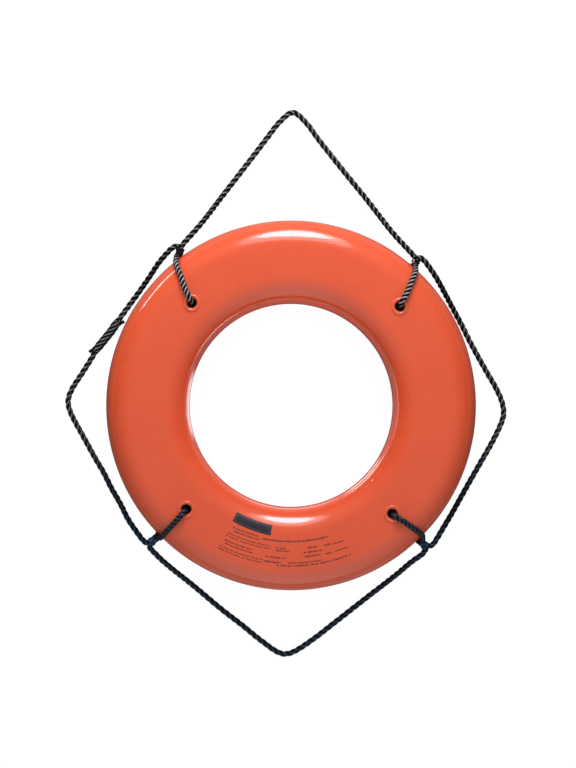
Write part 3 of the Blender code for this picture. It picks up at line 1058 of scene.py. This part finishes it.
def make_prints():
    """A blank panel with a thin border, and lines and rows of marks where such a ring has notes."""
    near, far, start, end, slant = PANEL
    make_print("panel", INK, PRINT_LIFT, near, far, start, end, slant)
    inset, line, turn, side = 0.0022, 0.0007, 0.75, 0.2
    raised = PRINT_LIFT + PRINT_T
    near, far, start, end = near + inset, far - inset, start + turn, end - turn
    make_print("border_near", BORDER, raised, near, near + line, start, end, slant)
    make_print("border_far", BORDER, raised, far - line, far, start, end, slant)
    make_print("border_left", BORDER, raised, near, far, start, start + side)
    make_print("border_right", BORDER, raised, near + slant, far + slant, end - side, end)
    for number, (reach, start, end, thick) in enumerate(RULES, 1):
        words, spread = None, LINE_SPREAD
        if thick > LINE_T:
            words, spread = WORDS[number % 3 :] + WORDS[: number % 3], MARK_SPREAD
        far = reach + spread * thick
        make_print("rule_%02d" % number, INK, PRINT_LIFT, reach, far, start, end, words=words)


make_skin()
make_eyelets()
make_sleeves()
make_prints()
dress(frame["nodes"]["foam_core"], FOAM)


# Floor and light


def make_floor():
    """A pale floor that's white to the camera except beneath the ring, where a painted shadow
    leaves its glow out.

    What the ring's gloss mirrors of it is the far floor and a few glows; nearer the ring it is left
    dark to the gloss as a painted shadow. Each glow has an azimuth, a band of distances from the
    axis, how squarely it must lie that way to begin and to be full, and its strength. The floor in
    the ring's hole throws more light on the flank round it.
    """
    deselect()
    bpy.ops.mesh.primitive_plane_add(size=8.0)
    floor = named("floor")
    finish = Finish("floor")
    tree = finish.tree
    tree.nodes.remove(finish.shader)
    matte = tree.nodes.new("ShaderNodeBsdfDiffuse")
    glow = tree.nodes.new("ShaderNodeEmission")
    rays = tree.nodes.new("ShaderNodeLightPath")
    seen = Socket(finish, rays.outputs["Is Camera Ray"])
    mirrored = Socket(finish, rays.outputs["Is Glossy Ray"])
    through = Socket(finish, rays.outputs["Is Transmission Ray"])
    spot = finish.node("TexCoord", {}, out="Object")
    away = finish.node("VectorMath", {"operation": "LENGTH"}, spot, out=1)
    # Painted shadow: beneath the ring the floor doesn't glow for the camera.
    painted_ring_shadow = away.band(0.185, 0.205, 0.265, 0.285)
    in_hole = away.ramp(0.150, 0.120)
    tone = finish.mix(in_hole, colour(0.14, 0.14, 0.14), colour(0.70, 0.70, 0.70))
    finish.feed(matte, {"Color": tone})
    way = finish.node("VectorMath", {"operation": "NORMALIZE"}, spot)
    wide = away.band(0.05, 0.08, 0.135, 0.155)
    thin = away.band(0.075, 0.095, 0.112, 0.128)
    twin = away.band(0.012, 0.026, 0.054, 0.064) * 1.9 + away.band(0.090, 0.102, 0.116, 0.130)
    outside = away.band(0.30, 0.37, 0.7, 1.2)
    # Painted shadow: nearer than this the floor doesn't glow for the gloss.
    bright = away.ramp(1.2, 2.6)
    for azimuth, band, begin, full, strength in (
        (180, wide, 0.93, 0.985, 3.0),
        (-45, twin, 0.962, 0.993, 4.2),
        (-90, thin, 0.80, 0.985, 1.7),
        (-90, outside, 0.35, 0.95, 0.35),
        (90, outside, 0.35, 0.95, 0.35),
    ):
        facing = finish.facing(way, azimuth)
        bright = bright + facing.ramp(begin, full) * band * strength
    shown = seen * (1.0 - painted_ring_shadow) + (mirrored + through) * bright
    finish.feed(glow, {"Strength": shown * 0.95})
    both = tree.nodes.new("ShaderNodeAddShader")
    tree.links.new(matte.outputs[0], both.inputs[0])
    tree.links.new(glow.outputs[0], both.inputs[1])
    out = next(n for n in tree.nodes if n.type == "OUTPUT_MATERIAL")
    tree.links.new(both.outputs[0], out.inputs["Surface"])
    floor.data.materials.append(finish.material)


def softbox(name, azimuth, elevation, wide, high, radiance, tint=(1.0, 1.0, 1.0)):
    """An oval lamp this way round the ring and this high, and so many degrees wide and high."""
    distance = 2.2
    lamp = bpy.data.lights.new(name, "AREA")
    lamp.shape = "ELLIPSE"
    lamp.color = tint
    lamp.size = 2 * distance * math.tan(math.radians(wide / 2))
    lamp.size_y = 2 * distance * math.tan(math.radians(high / 2))
    lamp.energy = radiance * math.pi * (math.pi / 4 * lamp.size * lamp.size_y)
    holder = bpy.data.objects.new(name, lamp)
    way = heading(azimuth, elevation)
    holder.location = Vector((0.0, 0.0, MID_Z)) + way * distance
    holder.rotation_mode = "QUATERNION"
    holder.rotation_quaternion = way.to_track_quat("Z", "Y")
    bpy.context.scene.collection.objects.link(holder)


def make_room(even, glows):
    """The room's light: the same from all round, and stronger from some sides, as smooth glows.

    Each glow is an azimuth, an elevation, how narrow it is and how strong. The camera sees white.
    """
    world = bpy.data.worlds.new("room")
    world.use_nodes = True
    wiring = Wiring(world.node_tree)
    way = wiring.node("TexCoord", {}, out="Generated")
    light = even
    for azimuth, elevation, narrow, strength in glows:
        facing = wiring.facing(way, azimuth, elevation)
        ahead = facing.reckon("MAXIMUM", facing, 0.0)
        light = light + ahead.reckon("POWER", ahead, narrow) * strength
    seen = wiring.node("LightPath", {}, out="Is Camera Ray")
    strength = seen + (1.0 - seen) * light
    background = world.node_tree.nodes["Background"]
    wiring.feed(background, {"Color": colour(1.0, 1.0, 1.0), "Strength": strength})
    bpy.context.scene.world = world


def make_light():
    """A large lamp beyond the ring's top with a brighter core, and a low one at the upper left."""
    top = 88.5
    softbox("key", top, 33, 32, 46, 3.0)
    softbox("key_core", top, 29, 23, 25, 12.5, (1.0, 1.03, 1.16))
    softbox("left_low", 139, 1.5, 18, 4, 18.0)
    make_room(0.015, ((top, 40, 4, 0.7), (-90, 35, 2, 0.95), (-90, 8, 9, 0.5)))


make_floor()
make_light()
bpy.context.scene.view_settings.view_transform = "Standard"
